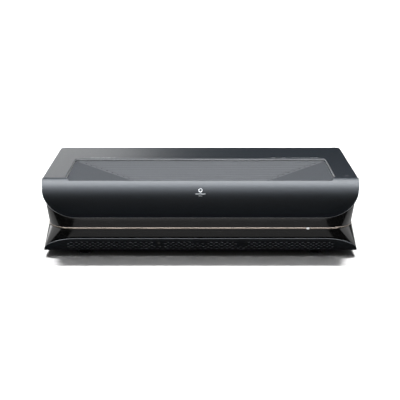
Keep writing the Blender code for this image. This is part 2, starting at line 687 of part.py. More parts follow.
def make_speaker(side_name, side):
    left, right = sorted((side * 0.095, side * 0.212))
    middle = ((left + right) / 2, 0.0262)
    cabinet = box(f"{side_name}_speaker_box", (left, -0.148, PAN_TOP + GAP), (right, -0.07, 0.07), SATIN, 1 * MM)
    cut(cabinet, box(f"{side_name}_speaker_hollow", (left + 3 * MM, -0.145, 0.0188), (right - 3 * MM, -0.073, 0.067)))
    cut(cabinet, loft(f"{side_name}_speaker_mouth",
                      [racetrack(middle, 0.086, 0.015, y) for y in (-0.15, -0.143)]))
    shape = ((0.03, 0.008, -0.122), (0.034, 0.009, -0.132), (0.076, 0.013, -0.1466), (0.084, 0.0142, -0.1483),
             (0.094, 0.0204, -0.1483), (0.094, 0.0204, -0.1505), (0.08, 0.0136, -0.1505), (0.04, 0.005, -0.1435))
    loft(f"{side_name}_speaker_driver", [racetrack(middle, w, h, y) for w, h, y in shape], SATIN)


def make_electronics():
    board = box("main_board", (-0.175, 0.137, SOCKET_FLOOR - 2 * MM), (0.02, 0.167, SOCKET_FLOOR - GAP), BOARD)
    join(board, box("board_chip", (-0.1, 0.14, 0.0545), (-0.07, 0.15, 0.0575)))
    supply = box("power_supply", (0.085, 0.02, 0.018), (0.212, 0.14, 0.062), ALLOY, 1 * MM)
    cut(supply, *(box(f"supply_slot_{i}", (0.1, 0.03 + 0.012 * i, 0.055), (0.197, 0.034 + 0.012 * i, 0.07))
                  for i in range(8)))


def make_sockets():
    for name, x, width, height, hollow_width, hollow_height, depth in SOCKETS:
        half, inner = width * MM / 2, hollow_width * MM / 2
        x, rear = x * MM, PANEL_FACE
        top = SOCKET_FLOOR + height * MM
        shell = box(name, (x - half, rear - SOCKET_DEPTH, SOCKET_FLOOR), (x + half, rear, top), STEEL)
        middle = SOCKET_FLOOR + height * MM / 2
        cut(shell, box(f"{name}_hollow", (x - inner, rear - depth * MM, middle - hollow_height * MM / 2),
                       (x + inner, rear + 5 * MM, middle + hollow_height * MM / 2)))
        if name == "power_inlet":
            for i, (dx, dz) in enumerate(((-7, -2), (7, -2), (0, 3))):
                pin = Vector((x + dx * MM, 0, middle + dz * MM))
                join(shell, box(f"inlet_pin_{i}", (pin.x - 1 * MM, rear - 15 * MM, pin.z - 2 * MM),
                                (pin.x + 1 * MM, rear - 6 * MM, pin.z + 2 * MM)))


def make_button():
    """The button slides down in its hole. A wider foot under the deck keeps it in."""
    x, y = BUTTON
    top = HEIGHT - 0.1 * MM
    cap = [(0, top), (3.8, top), (4.2, top - 0.4 * MM), (4.2, 148.7 * MM), (5.6, 148.7 * MM), (5.6, 147 * MM),
           (2, 147 * MM), (2, 141 * MM), (0, 141 * MM)]
    base = 0.15
    profile = [(r * MM, h - base) for r, h in cap]
    turned("power_button", profile, (x, y, base), SATIN, steps=24)


def make_feet():
    """Each foot is a captive thumb ring on a threaded stem. Turning the ring moves the stem and its pad."""
    places = (("front_left", -FOOT_X, FOOT_FRONT_Y), ("front_right", FOOT_X, FOOT_FRONT_Y),
              ("rear_left", -FOOT_X, FOOT_REAR_Y), ("rear_right", FOOT_X, FOOT_REAR_Y))
    stem = [(0, 29), (3.4, 29), (4, 28.4), (4, 4.8), (10.4, 4.8), (11, 4.2), (11, 0.8), (10.2, 0), (0, 0)]
    hole = STEM_RADIUS / MM + 0.3
    ring = [(hole, 12.2), (14, 12.2), (15.5, 11), (15.5, 7), (14, 5.2), (hole, 5.2)]
    for where, x, y in places:
        turned(f"{where}_foot_stem", [(r * MM, h * MM) for r, h in stem], (x, y, 0), RUBBER, steps=24)
        turned(f"{where}_foot_ring", [(r * MM, h * MM) for r, h in ring], (x, y, 0), SATIN, steps=24)


make_top_cover()
make_front_visor()
make_upper_waist()
make_trim_ring()
make_lower_waist()
make_base_pan()
make_front_grille()
make_vent_grilles()
make_rear_panel()
make_badge()
make_lens_cover()
make_cover_rails()
make_cover_drive()
make_lens_well()
make_mirror()
make_lens()
make_light_engine()
make_fan("left", -1, 0.096)
make_fan("right", 1, 0.06)
make_speaker("left", -1)
make_speaker("right", 1)
make_electronics()
make_sockets()
make_button()
make_feet()
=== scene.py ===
"""Looks of a home projector: an ultra-short-throw cabinet with a sliding lens cover."""
import math

import bmesh
import bpy
from mathutils import Matrix, Vector


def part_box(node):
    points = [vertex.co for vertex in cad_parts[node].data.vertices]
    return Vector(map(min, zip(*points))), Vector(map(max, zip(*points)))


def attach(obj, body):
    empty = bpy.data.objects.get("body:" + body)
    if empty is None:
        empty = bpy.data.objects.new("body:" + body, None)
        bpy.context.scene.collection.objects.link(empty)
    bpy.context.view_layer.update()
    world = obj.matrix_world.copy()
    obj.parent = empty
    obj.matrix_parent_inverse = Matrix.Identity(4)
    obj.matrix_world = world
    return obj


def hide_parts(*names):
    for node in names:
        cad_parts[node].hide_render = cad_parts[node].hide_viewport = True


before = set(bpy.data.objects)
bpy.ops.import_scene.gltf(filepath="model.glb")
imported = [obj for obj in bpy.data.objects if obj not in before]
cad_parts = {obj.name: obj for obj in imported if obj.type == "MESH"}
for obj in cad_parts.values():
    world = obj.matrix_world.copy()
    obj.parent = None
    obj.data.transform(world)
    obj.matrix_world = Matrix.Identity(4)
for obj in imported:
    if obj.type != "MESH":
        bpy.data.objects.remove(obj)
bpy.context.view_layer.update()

MM = 0.001
CABINET = "cabinet"
COVER = "sliding_cover"


# --- Measures read from the frame, in millimetres -----------------------------------------------

def node_box(node):
    """The low and high corners of a CAD piece."""
    low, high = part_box(node)
    return Vector(low) / MM, Vector(high) / MM


DECK_LOW, DECK_HIGH = node_box("top_cover")
PANEL_LOW, PANEL_HIGH = node_box("lens_cover")
TRIM_LOW, TRIM_HIGH = node_box("trim_ring")
WAIST_LOW, _ = node_box("upper_waist")
LOWER_LOW, LOWER_HIGH = node_box("lower_waist")
SKIN_LOW, SKIN_HIGH = node_box("front_grille")
REAR_LOW, REAR_HIGH = node_box("rear_panel")

TOP = DECK_HIGH.z                   # flat of the deck
SIDE = DECK_HIGH.x                  # half width
REAR = DECK_HIGH.y
CORNER = 22                         # radius of the rear corners, seen from above
CREASE = DECK_LOW.y                 # where the deck meets the visor
CEILING = TOP - 2.6                 # underside of the deck
RECESS_HALF = 256
RECESS_RADIUS = 6
RECESS_REAR = PANEL_HIGH.y + 0.6
RECESS_CORNER = -139
RECESS_SLOPE = 9 / 26               # how fast the recess narrows in front of its corner
SKIRT_EDGE = DECK_LOW.z
WING_TIP = 142                      # height of the skirt's point at the front
WING_START = -150                   # the skirt's curve runs between these two
WING_END = -85
REAR_WINDOW = 246                   # half width of the opening for the rear panel
TRIM_MIDDLE = (TRIM_LOW.z + TRIM_HIGH.z) / 2
WAIST_HALF = 295
WAIST_FLARE = 4.5                   # how much wider the waist is at its top and foot than at the trim
WAIST_FRONT = -157
VISOR_END = 65                      # radius of the curve at each end of the visor
WALL = 2.5
WELD = 0.001                        # points nearer than this are one point
SENSOR_X = 79                       # the sensor sits this far left of the middle


# --- Materials ------------------------------------------------------------------------------------

NOISE_LOW, NOISE_HIGH = 0.35, 0.65      # most of a noise's values lie between these


def linear(hex_colour):
    """An sRGB hex colour as the linear values that shaders take."""
    channels = [int(hex_colour[i:i + 2], 16) / 255 for i in (0, 2, 4)]
    return [c / 12.92 if c <= 0.04045 else ((c + 0.055) / 1.055) ** 2.4 for c in channels] + [1]


def add_node(tree, kind, values=None, links=None, **settings):
    """Adds a node with its settings, input values and links from other sockets."""
    made = tree.nodes.new(kind)
    for name, value in settings.items():
        setattr(made, name, value)
    for name, value in (values or {}).items():
        made.inputs[name].default_value = value
    for name, socket in (links or {}).items():
        tree.links.new(socket, made.inputs[name])
    return made


def surface(name, colour, roughness, metallic=0.0, **values):
    """A material with its Principled shader, and the object's own coordinates in metres."""
    made = bpy.data.materials.new(name)
    made.use_nodes = True
    tree = made.node_tree
    shader = tree.nodes["Principled BSDF"]
    shader.inputs["Base Color"].default_value = linear(colour)
    shader.inputs["Roughness"].default_value = roughness
    shader.inputs["Metallic"].default_value = metallic
    for key, value in values.items():
        shader.inputs[key.replace("_", " ")].default_value = value
    place = add_node(tree, "ShaderNodeTexCoord").outputs["Object"]
    return made, tree, shader, place


def grain(tree, place, size, detail=2.0, stretch=(1, 1, 1)):
    """Noise whose grains are about the given size in millimetres."""
    scaled = add_node(tree, "ShaderNodeMapping", {"Scale": stretch}, {"Vector": place})
    return add_node(tree, "ShaderNodeTexNoise", {"Scale": 1 / (size * MM), "Detail": detail},
                    {"Vector": scaled.outputs["Vector"]}).outputs["Fac"]


def vary(tree, shader, socket, noise, low, high):
    """Lets a value of the shader wander between two limits with the noise."""
    limits = {"From Min": NOISE_LOW, "From Max": NOISE_HIGH, "To Min": low, "To Max": high}
    span = add_node(tree, "ShaderNodeMapRange", limits, {"Value": noise})
    tree.links.new(span.outputs["Result"], shader.inputs[socket])


def tint(tree, shader, noise, dark, light):
    """Lets the base colour wander between two colours with the noise."""
    ramp = add_node(tree, "ShaderNodeValToRGB", links={"Fac": noise})
    for stop, spot, colour in zip(ramp.color_ramp.elements, (NOISE_LOW, NOISE_HIGH), (dark, light)):
        stop.position, stop.color = spot, linear(colour)
    tree.links.new(ramp.outputs["Color"], shader.inputs["Base Color"])


def roughen(tree, shader, noise, height):
    """Bump of the given height in millimetres."""
    bump = add_node(tree, "ShaderNodeBump", {"Strength": 1.0, "Distance": height * MM}, {"Height": noise})
    tree.links.new(bump.outputs["Normal"], shader.inputs["Normal"])


def graphite_paint():
    """Satin paint over moulded plastic: near black face on, with a soft broad sheen and fine flake."""
    made, tree, shader, place = surface("graphite_paint", "0E1114", 0.42, Specular_IOR_Level=0.11)
    tint(tree, shader, grain(tree, place, 0.9, 3), "02070D", "070E15")
    vary(tree, shader, "Roughness", grain(tree, place, 9, 3), 0.413, 0.427)
    roughen(tree, shader, grain(tree, place, 0.7, 2), 0.004)
    return made


def piano_black():
    """Polished black acrylic: a mirror-like skin over black, with the faintest haze from wiping."""
    made, tree, shader, place = surface("piano_black", "050505", 0.05)
    vary(tree, shader, "Roughness", grain(tree, place, 22, 4, (1, 1, 3)), 0.03, 0.09)
    return made


def ribbed_grey():
    """Mid-grey ABS with a fine spark-eroded texture: matt, so it keeps one even tone."""
    made, tree, shader, place = surface("spark_eroded_grey", "46484B", 0.8, Specular_IOR_Level=0.01)
    tint(tree, shader, grain(tree, place, 1.2, 3), "424447", "4A4C4F")
    roughen(tree, shader, grain(tree, place, 0.6, 2), 0.012)
    return made


def plain_grey_and_painted_shade():
    """The same grey ABS with a smoother, slightly darker finish. On the cover's plain triangles the darker
    tone is painted shade; on the button cap it is the cap's own grey.
    """
    made, tree, shader, place = surface("smooth_grey_and_painted_shade", "303235", 0.8, Specular_IOR_Level=0.01)
    tint(tree, shader, grain(tree, place, 1.0, 3), "2D2F32", "333538")
    roughen(tree, shader, grain(tree, place, 0.5, 2), 0.006)
    return made


def champagne_aluminium():
    """Anodised aluminium wire trim, brushed along its length: warm, with a soft linear glint."""
    made, tree, shader, place = surface("champagne_anodised", "6E665F", 0.32, 1.0)
    fine = grain(tree, place, 0.5, 3, (0.05, 0.05, 1))
    vary(tree, shader, "Roughness", fine, 0.31, 0.34)
    return made


def moulded_black():
    """Black ABS with a fine leather-like mould texture: matt, with greyish highlights."""
    made, tree, shader, place = surface("moulded_black_abs", "101112", 0.6, Specular_IOR_Level=0.12)
    tint(tree, shader, grain(tree, place, 3, 4), "0E0F10", "121315")
    roughen(tree, shader, grain(tree, place, 0.8, 3), 0.03)
    return made


def foot_rubber():
    """Moulded nitrile rubber: dull black with a dusty bloom."""
    made, tree, shader, place = surface("nitrile_rubber", "080808", 0.85, Specular_IOR_Level=0.1)
    tint(tree, shader, grain(tree, place, 2.5, 5), "060606", "0E0E0E")
    roughen(tree, shader, grain(tree, place, 0.6, 3), 0.04)
    return made


def nickel_steel():
    """Nickel-plated pressed steel: bright, with faint rolling marks."""
    made, tree, shader, place = surface("nickel_plated_steel", "767673", 0.34, 1.0)
    marks = grain(tree, place, 0.6, 4, (1, 0.08, 1))
    vary(tree, shader, "Roughness", marks, 0.24, 0.42)
    roughen(tree, shader, marks, 0.004)
    return made


def cast_aluminium():
    """Bead-blasted cast aluminium: pale grey, evenly rough."""
    made, tree, shader, place = surface("cast_aluminium", "5E5F61", 0.55, 1.0)
    tint(tree, shader, grain(tree, place, 5, 4), "565759", "666769")
    roughen(tree, shader, grain(tree, place, 0.7, 3), 0.05)
    return made


def copper():
    """Bare drawn copper, slightly tarnished."""
    made, tree, shader, place = surface("drawn_copper", "844C31", 0.34, 1.0)
    tint(tree, shader, grain(tree, place, 9, 4), "784228", "90583B")
    vary(tree, shader, "Roughness", grain(tree, place, 4, 3), 0.24, 0.42)
    return made


def coated_glass():
    """Anti-reflection coated glass: clear, with a faint violet sheen."""
    made, tree, shader, place = surface("coated_glass", "D8DCEC", 0.02, Transmission_Weight=1.0, IOR=1.5)
    vary(tree, shader, "Roughness", grain(tree, place, 30, 3), 0.01, 0.04)
    return made


def mirror_silver():
    """Front-silvered optical mirror: near perfect, with a faint cold cast."""
    made, tree, shader, place = surface("front_silvered_mirror", "E6E9EC", 0.02, 1.0)
    vary(tree, shader, "Roughness", grain(tree, place, 18, 3), 0.01, 0.035)
    return made


def solder_mask():
    """Glass-fibre board under green solder mask: glossy, with the tracks showing as paler lines."""
    made, tree, shader, place = surface("solder_mask_green", "0C3F24", 0.4, Specular_IOR_Level=0.2)
    cells = add_node(tree, "ShaderNodeTexVoronoi", {"Scale": 1 / (4 * MM)}, {"Vector": place},
                     distance="CHEBYCHEV")
    tint(tree, shader, cells.outputs["Distance"], "0C3F24", "1B6A40")
    return made


def frosted_light():
    """Frosted light pipe, lit white from behind."""
    made, tree, shader, place = surface("frosted_light_pipe", "F4F6F8", 0.4, Emission_Strength=0.6)
    shader.inputs["Emission Color"].default_value = linear("F4F6FA")
    roughen(tree, shader, grain(tree, place, 0.4, 2), 0.01)
    return made


def natural_nylon():
    """Unfilled nylon gearing: milky off-white, slightly waxy."""
    made, tree, shader, place = surface("natural_nylon", "9F9C92", 0.5, Specular_IOR_Level=0.15,
                                        Subsurface_Weight=0.15)
    tint(tree, shader, grain(tree, place, 6, 3), "98948A", "A6A39A")
    return made


def chrome_painted_highlight():
    """Satin chrome on the rolled edge of the visor: a thin, soft glint of the lamps, whose bright colour
    paints the highlight along the visor's rim.
    """
    made, tree, shader, place = surface("chrome_painted_highlight", "B0B4B7", 0.34, 1.0)
    vary(tree, shader, "Roughness", grain(tree, place, 6, 3), 0.3, 0.38)
    return made


def screen_ink():
    """Pale grey screen-printed ink: thin, matt and slightly broken up."""
    made, tree, shader, place = surface("screen_printed_ink", "808386", 0.7, Specular_IOR_Level=0.03)
    tint(tree, shader, grain(tree, place, 0.5, 2), "777A7D", "898C8F")
    return made


def brushed_badge():
    """Satin-polished aluminium, cut crosswise: a pale even glint."""
    made, tree, shader, place = surface("satin_badge_aluminium", "8E9194", 0.4, 1.0)
    vary(tree, shader, "Roughness", grain(tree, place, 0.4, 3, (0.1, 1, 1)), 0.26, 0.42)
    return made


def speaker_cloth():
    """Woven polyester speaker cloth: charcoal, with the weave just visible."""
    made, tree, shader, place = surface("speaker_cloth", "5C6064", 0.9)
    weave = add_node(tree, "ShaderNodeTexVoronoi", {"Scale": 1 / (0.7 * MM)}, {"Vector": place})
    tint(tree, shader, weave.outputs["Distance"], "4C5054", "6E7276")
    roughen(tree, shader, weave.outputs["Distance"], 0.1)
    return made


def black_felt():
    """Pressed wool felt: matt black with loose fibres."""
    made, tree, shader, place = surface("black_felt", "0A0A0B", 0.95, Specular_IOR_Level=0.1)
    tint(tree, shader, grain(tree, place, 0.8, 5), "060606", "141415")
    roughen(tree, shader, grain(tree, place, 0.5, 4), 0.08)
    return made


def painted_highlight_seal():
    """Woven pile seal: short pale grey bristles, matt and even. Its pale grey paints the highlight of the
    recess's lit rear wall.
    """
    made, tree, shader, place = surface("pale_seal_painted_highlight", "808386", 0.9, Specular_IOR_Level=0.1)
    tint(tree, shader, grain(tree, place, 0.6, 3, (1, 0.2, 0.2)), "787B7E", "888B8E")
    return made


def port_plastic():
    """White-grey PBT plastic of the contact tongues inside sockets."""
    made, tree, shader, place = surface("contact_plastic", "96999D", 0.45, Specular_IOR_Level=0.2)
    tint(tree, shader, grain(tree, place, 2, 2), "909397", "9C9FA3")
    return made


def gold_contact():
    """Flash-gold plated phosphor bronze contacts."""
    made, tree, shader, place = surface("gold_contact", "D9B25A", 0.25, 1.0)
    vary(tree, shader, "Roughness", grain(tree, place, 1, 2), 0.2, 0.34)
    return made


PAINT = graphite_paint()
GLOSS = piano_black()
RIBBED = ribbed_grey()
GREY_AND_PAINTED_SHADE = plain_grey_and_painted_shade()
TRIM = champagne_aluminium()
BLACK = moulded_black()
RUBBER = foot_rubber()
STEEL = nickel_steel()
ALLOY = cast_aluminium()
COPPER = copper()
GLASS = coated_glass()
MIRROR = mirror_silver()
BOARD = solder_mask()
LIGHT = frosted_light()
NYLON = natural_nylon()
CHROME_PAINTED_HIGHLIGHT = chrome_painted_highlight()
INK = screen_ink()
BADGE = brushed_badge()
CLOTH = speaker_cloth()
FELT = black_felt()
HIGHLIGHT_SEAL = painted_highlight_seal()
TONGUE = port_plastic()
GOLD = gold_contact()


# --- Making pieces -------------------------------------------------------------------------------

def finished(work, name, look, body=CABINET, stands_for=(), crease=30):
    """Turns a bmesh drawn in millimetres into a piece that rides on a body."""
    bmesh.ops.scale(work, vec=(MM, MM, MM), verts=work.verts)
    mesh = bpy.data.meshes.new(name)
    work.to_mesh(mesh)
    work.free()
    mesh.shade_smooth()
    mesh.set_sharp_from_angle(angle=math.radians(crease))
    mesh.materials.append(look)
    piece = bpy.data.objects.new(name, mesh)
    bpy.context.scene.collection.objects.link(piece)
    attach(piece, body)
    if stands_for:
        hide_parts(*stands_for)
    return piece


def thicken(piece, wall):
    """Gives a skin its wall, inwards."""
    change = piece.modifiers.new("wall", "SOLIDIFY")
    change.thickness = wall * MM
    change.offset = -1
    change.use_even_offset = True


def soften(piece, width, segments=2, angle=40):
    """Rounds a piece's sharp edges."""
    change = piece.modifiers.new("edges", "BEVEL")
    change.width = width * MM
    change.segments = segments
    change.limit_method = "ANGLE"
    change.angle_limit = math.radians(angle)
    change.harden_normals = True


def skin(columns, rows, place):
    """A net of faces whose point at column i, row j is place(i, j)."""
    work = bmesh.new()
    bmesh.ops.create_grid(work, x_segments=columns - 1, y_segments=rows - 1, size=1)
    for vertex in work.verts:
        i = round((vertex.co.x + 1) / 2 * (columns - 1))
        j = round((vertex.co.y + 1) / 2 * (rows - 1))
        vertex.co = place(i, j)
    return work


def carve(piece, cutter_work):
    """Cuts a closed shape, drawn in millimetres, out of a piece."""
    bmesh.ops.scale(cutter_work, vec=(MM, MM, MM), verts=cutter_work.verts)
    bmesh.ops.recalc_face_normals(cutter_work, faces=cutter_work.faces)
    shape = bpy.data.meshes.new("cutter")
    cutter_work.to_mesh(shape)
    cutter_work.free()
    cutter = bpy.data.objects.new("cutter", shape)
    bpy.context.scene.collection.objects.link(cutter)
    change = piece.modifiers.new("carve", "BOOLEAN")
    change.operation = "DIFFERENCE"
    change.object = cutter
    ready = piece.evaluated_get(bpy.context.evaluated_depsgraph_get())
    mesh = bpy.data.meshes.new_from_object(ready)
    piece.modifiers.clear()
    piece.data = mesh
    mesh.shade_smooth()
    mesh.set_sharp_from_angle(angle=math.radians(30))
    bpy.data.objects.remove(cutter)


def arc(centre, half_u, half_v, start, end, count):
    """Points of an elliptical arc, both ends included, angles in degrees."""
    angles = [math.radians(start + (end - start) * i / (count - 1)) for i in range(count)]
    return [(centre[0] + half_u * math.cos(a), centre[1] + half_v * math.sin(a)) for a in angles]


def spread(low, high, count):
    """Evenly spaced numbers, both ends included."""
    return [low + (high - low) * i / (count - 1) for i in range(count)]


def slab(work, outline, low, high, holes=()):
    """Adds a flat plate to a bmesh: its outline and holes in x and y, between two heights."""
    edges = []
    for loop in (outline, *holes):
        points = [work.verts.new((x, y, low)) for x, y in loop]
        edges += [work.edges.new((a, b)) for a, b in zip(points, points[1:] + points[:1])]
    filled = bmesh.ops.triangle_fill(work, edges=edges, use_beauty=True)
    faces = [item for item in filled["geom"] if isinstance(item, bmesh.types.BMFace)]
    if not holes:
        bmesh.ops.dissolve_faces(work, faces=faces)
        faces = [face for face in work.faces if all(abs(v.co.z - low) < 0.001 for v in face.verts)]
    lifted = bmesh.ops.extrude_face_region(work, geom=faces)
    top = [item for item in lifted["geom"] if isinstance(item, bmesh.types.BMVert)]
    bmesh.ops.translate(work, vec=(0, 0, high - low), verts=top)
    bmesh.ops.recalc_face_normals(work, faces=work.faces)
    return work


def block(low, high):
    """A plain box between two corners."""
    work = bmesh.new()
    low, high = Vector(low), Vector(high)
    middle, size = (low + high) / 2, high - low
    bmesh.ops.create_cube(work, size=1, matrix=Matrix.Translation(middle) @ Matrix.Diagonal((*size, 1)))
    return work


def joined(works):
    """Several bmeshes as one."""
    whole = bmesh.new()
    for work in works:
        part = bpy.data.meshes.new("part")
        work.to_mesh(part)
        work.free()
        whole.from_mesh(part)
        bpy.data.meshes.remove(part)
    return whole


def rounded(centre, width, height, radius, steps=6):
    """Outline of a rectangle with rounded corners."""
    x, y = width / 2 - radius, height / 2 - radius
    outline = []
    for u, v, start in ((x, y, 0), (-x, y, 90), (-x, -y, 180), (x, -y, 270)):
        outline += arc((centre[0] + u, centre[1] + v), radius, radius, start, start + 90, steps)
    return outline


UPRIGHT = Matrix.Rotation(math.radians(90), 4, "X")       # a plate drawn in x, y then stands in x, z
SIDEWAYS = Matrix(((0, 0, 1, 0), (1, 0, 0, 0), (0, 1, 0, 0), (0, 0, 0, 1)))   # and in y, z


def turned(profile, centre, steps=64):
    """A turned shape: (radius, height) points from bottom to top, about a line through the centre."""
    work = bmesh.new()
    points = [work.verts.new((r, 0, h)) for r, h in profile]
    edges = [work.edges.new(pair) for pair in zip(points, points[1:])]
    bmesh.ops.spin(work, geom=points + edges, cent=(0, 0, 0), axis=(0, 0, 1),
                   angle=2 * math.pi, steps=steps, use_merge=True)
    bmesh.ops.remove_doubles(work, verts=work.verts, dist=0.0005)
    bmesh.ops.recalc_face_normals(work, faces=work.faces)
    work.transform(Matrix.Translation(centre))
    return work


def closed(work):
    """Welds a net's seam, fills its open ends and turns its faces outwards."""
    bmesh.ops.remove_doubles(work, verts=work.verts, dist=WELD)
    bmesh.ops.holes_fill(work, edges=[edge for edge in work.edges if edge.is_boundary])
    bmesh.ops.recalc_face_normals(work, faces=work.faces)
    return work


def stood(work, matrix):
    """Puts a closed shape in its place and turns its faces outwards again, as some moves mirror it."""
    work.transform(matrix)
    bmesh.ops.recalc_face_normals(work, faces=work.faces)
    return work


# --- Shapes of the casing ------------------------------------------------------------------------

def wing(y):
    """Lower edge of the side skirt: it curves up to a point at the front corner."""
    if y >= WING_END:
        return SKIRT_EDGE
    along = min((WING_END - y) / (WING_END - WING_START), 1)
    return WING_TIP - (WING_TIP - SKIRT_EDGE) * math.sqrt(1 - along * along)


def visor_edge(x):
    """Lower edge of the visor: level in the middle and curving up to a point at each end."""
    past = max(abs(x) - (SIDE - VISOR_END), 0) / VISOR_END
    return WING_TIP - VISOR_END * math.sqrt(max(1 - past * past, 0))


def visor_point(t):
    """Y and Z of the visor's outer line, from the crease (t = 0) to the lip (t = 1)."""
    points = [Vector(p) for p in ((-150, 152), (-168, 147), (-184.95, 118), (-163.5, 77))]
    a, b, c = (points[i].lerp(points[i + 1], t) for i in range(3))
    return a.lerp(b, t).lerp(b.lerp(c, t), t)


def visor_reach(test):
    """The t at which the visor's line first passes a test, by halving."""
    low, high = 0.0, 1.0
    for _ in range(30):
        middle = (low + high) / 2
        if test(visor_point(middle)):
            high = middle
        else:
            low = middle
    return high


def make_visor():
    """One sheet from the crease down to the lip. Its ends are cut to a curve and its top to the recess."""
    ends = [x for x, _ in arc((SIDE - VISOR_END, 0), VISOR_END, 1, 90, 0, 28)]
    notch_rear = RECESS_HALF - RECESS_SLOPE * (RECESS_CORNER - WING_START)
    lip = visor_reach(lambda p: p.y < PANEL_HIGH.z - 0.2)
    notch_front = RECESS_HALF - RECESS_SLOPE * (RECESS_CORNER - visor_point(lip).x)
    half = sorted(set(spread(0, SIDE - VISOR_END, 12) + ends + [notch_front, notch_rear]))
    stations = [-x for x in reversed(half[1:])] + half
    rows = 44

    def place(i, j):
        x = stations[i]
        low = visor_edge(x)
        end = visor_reach(lambda p: p.y < low + WELD)
        if abs(x) <= notch_front + 0.01:
            start = lip
        elif abs(x) < notch_rear - 0.01:
            start = lip * (notch_rear - abs(x)) / (notch_rear - notch_front)
        else:
            start = 0.0
        y, z = visor_point(start + (end - start) * j / (rows - 1))
        return x, y, z

    work = skin(len(stations), rows, place)
    bmesh.ops.reverse_faces(work, faces=work.faces)
    visor = finished(work, "visor_shell", PAINT, stands_for=["front_visor"])
    thicken(visor, 2.6)
    soften(visor, 0.7, 3)
    make_visor_edge(stations)


def make_visor_edge(stations):
    """A rolled edge along the visor's lower rim, in bright chrome that paints the rim's highlight."""
    radius, inset, depth, steps = 0.8, 0.1, 0.75, 12
    edge, inwards = [], []
    for x in stations:
        t = visor_reach(lambda p: p.y < visor_edge(x) + WELD)
        here, nearby = visor_point(t), visor_point(max(t - 0.01, 0))
        along = here - nearby
        edge.append(Vector((x, here.x, here.y)))
        inwards.append(Vector((0, -along.y, along.x)).normalized())

    def place(i, j):
        run = (edge[min(i + 1, len(edge) - 1)] - edge[max(i - 1, 0)]).normalized()
        inward = inwards[i]
        down = inward.cross(run).normalized()
        centre = edge[i] + inward * depth - down * inset
        turn = math.radians(360 * j / steps)
        return centre + (inward * math.cos(turn) + down * math.sin(turn)) * radius

    finished(closed(skin(len(stations), steps + 1, place)), "visor_edge", CHROME_PAINTED_HIGHLIGHT)


def deck_stations():
    """Matching points on the recess and the outer edge, with the roundover's depth and height there."""
    side_round, rear_depth, rear_height, turns = 2.4, 17, 10, 13
    outer_x, outer_y = SIDE - CORNER, REAR - CORNER
    inner_x, inner_y = RECESS_HALF - RECESS_RADIUS, RECESS_REAR - RECESS_RADIUS
    fronts = [y for y, _ in arc((WING_END, 0), WING_END - CREASE, 1, 180, 90, 12)]
    sides = fronts + spread(WING_END, outer_y, 8)[1:]
    half = []
    for x in spread(0, 240, 9) + [REAR_WINDOW, REAR_WINDOW + 0.2, 262, outer_x]:
        half.append(((x * inner_x / outer_x, RECESS_REAR), (x, REAR), rear_depth, rear_height))
    outer_corner = arc((outer_x, outer_y), CORNER, CORNER, 90, 0, turns + 1)
    inner_corner = arc((inner_x, inner_y), RECESS_RADIUS, RECESS_RADIUS, 90, 0, turns + 1)
    for k in range(1, turns + 1):
        ease = (1 + math.cos(math.pi * k / turns)) / 2
        half.append((inner_corner[k], outer_corner[k], side_round + (rear_depth - side_round) * ease,
                     side_round + (rear_height - side_round) * ease))
    stretch = (inner_y - WING_END) / (outer_y - WING_END)
    for y in reversed(sides[:-1]):
        recess_y = y if y < WING_END else WING_END + (y - WING_END) * stretch
        recess_x = RECESS_HALF - max(RECESS_CORNER - recess_y, 0) * RECESS_SLOPE
        half.append(((recess_x, recess_y), (SIDE, y), side_round, side_round))
    left = [((-a[0], a[1]), (-b[0], b[1]), d, h) for a, b, d, h in reversed(half[1:])]
    return left + half


def make_deck():
    """The top cover: recess lip, flat deck, roundover and skirt in one sheet."""
    stations = deck_stations()
    rim, margin, corner_steps, skirt_steps = 1.2, 1.5, 8, 4
    window_top = 141.1          # the skirt stops here above the rear panel
    rows = 9 + corner_steps + skirt_steps

    def place(i, j):
        inner, outer, depth, height = stations[i]
        inner, outer = Vector(inner), Vector(outer)
        across = (outer - inner).normalized()
        if abs(outer.x) < SIDE - CORNER:
            inward = Vector((0, -1))
        elif outer.y < REAR - CORNER:
            inward = Vector((-math.copysign(1, outer.x), 0))
        else:
            centre = Vector((math.copysign(SIDE - CORNER, outer.x), REAR - CORNER))
            inward = (centre - outer).normalized()
        if j == 0:
            return (*inner, CEILING)
        if j <= 5:
            turn = math.radians(90 * (j - 1) / 4)
            spot = inner + across * rim * (1 - math.cos(turn))
            return (*spot, TOP - rim + rim * math.sin(turn))
        if j == 6:
            return (*(inner + across * (rim + margin)), TOP)
        if j == 7:
            return (*(outer + inward * (depth + margin)), TOP)
        if j <= 8 + corner_steps:
            turn = math.radians(90 * (j - 8) / corner_steps)
            spot = outer + inward * depth * (1 - math.sin(turn))
            return (*spot, TOP - height * (1 - math.cos(turn)))
        low = window_top if abs(outer.x) <= REAR_WINDOW and outer.y == REAR else wing(outer.y)
        high = TOP - height
        return (*outer, high + (low - high) * (j - 8 - corner_steps) / skirt_steps)

    work = skin(len(stations), rows, place)
    deck = finished(work, "deck_shell", PAINT, stands_for=["top_cover"])
    thicken(deck, 2.4)
    button_low, button_high = node_box("power_button")
    x, y, _ = (button_low + button_high) / 2
    hole = bmesh.new()
    bmesh.ops.create_cone(hole, cap_ends=True, segments=48, radius1=4.6, radius2=4.6, depth=12,
                          matrix=Matrix.Translation((x, y, TOP)))
    carve(deck, hole)


def waist_path(z, out=0.0):
    """Plan of the waist at a height, as points on the right half from the front middle to the rear window."""
    high = z > TRIM_MIDDLE
    span = WING_TIP - TRIM_MIDDLE if high else TRIM_MIDDLE - LOWER_LOW.z
    s = min(abs(z - TRIM_MIDDLE) / span, 1)
    half = WAIST_HALF + WAIST_FLARE * s + out
    rx, ry = max(50 * (1 - s), 3) + out, max(63 * (1 - s), 3) + out
    front, rear, back = WAIST_FRONT - out, REAR - 2 + 1.7 * s + out, CORNER + out
    path = [(x, front) for x in spread(0, half - rx, 10)[:-1]]
    path += arc((half - rx, front + ry), rx, ry, -90, 0, 25)
    path += [(half, y) for y in spread(front + ry, rear - back, 16)[1:-1]]
    path += arc((half - back, rear - back), back, back, 0, 90, 12)
    return path + [(REAR_WINDOW + 0.2, rear)]


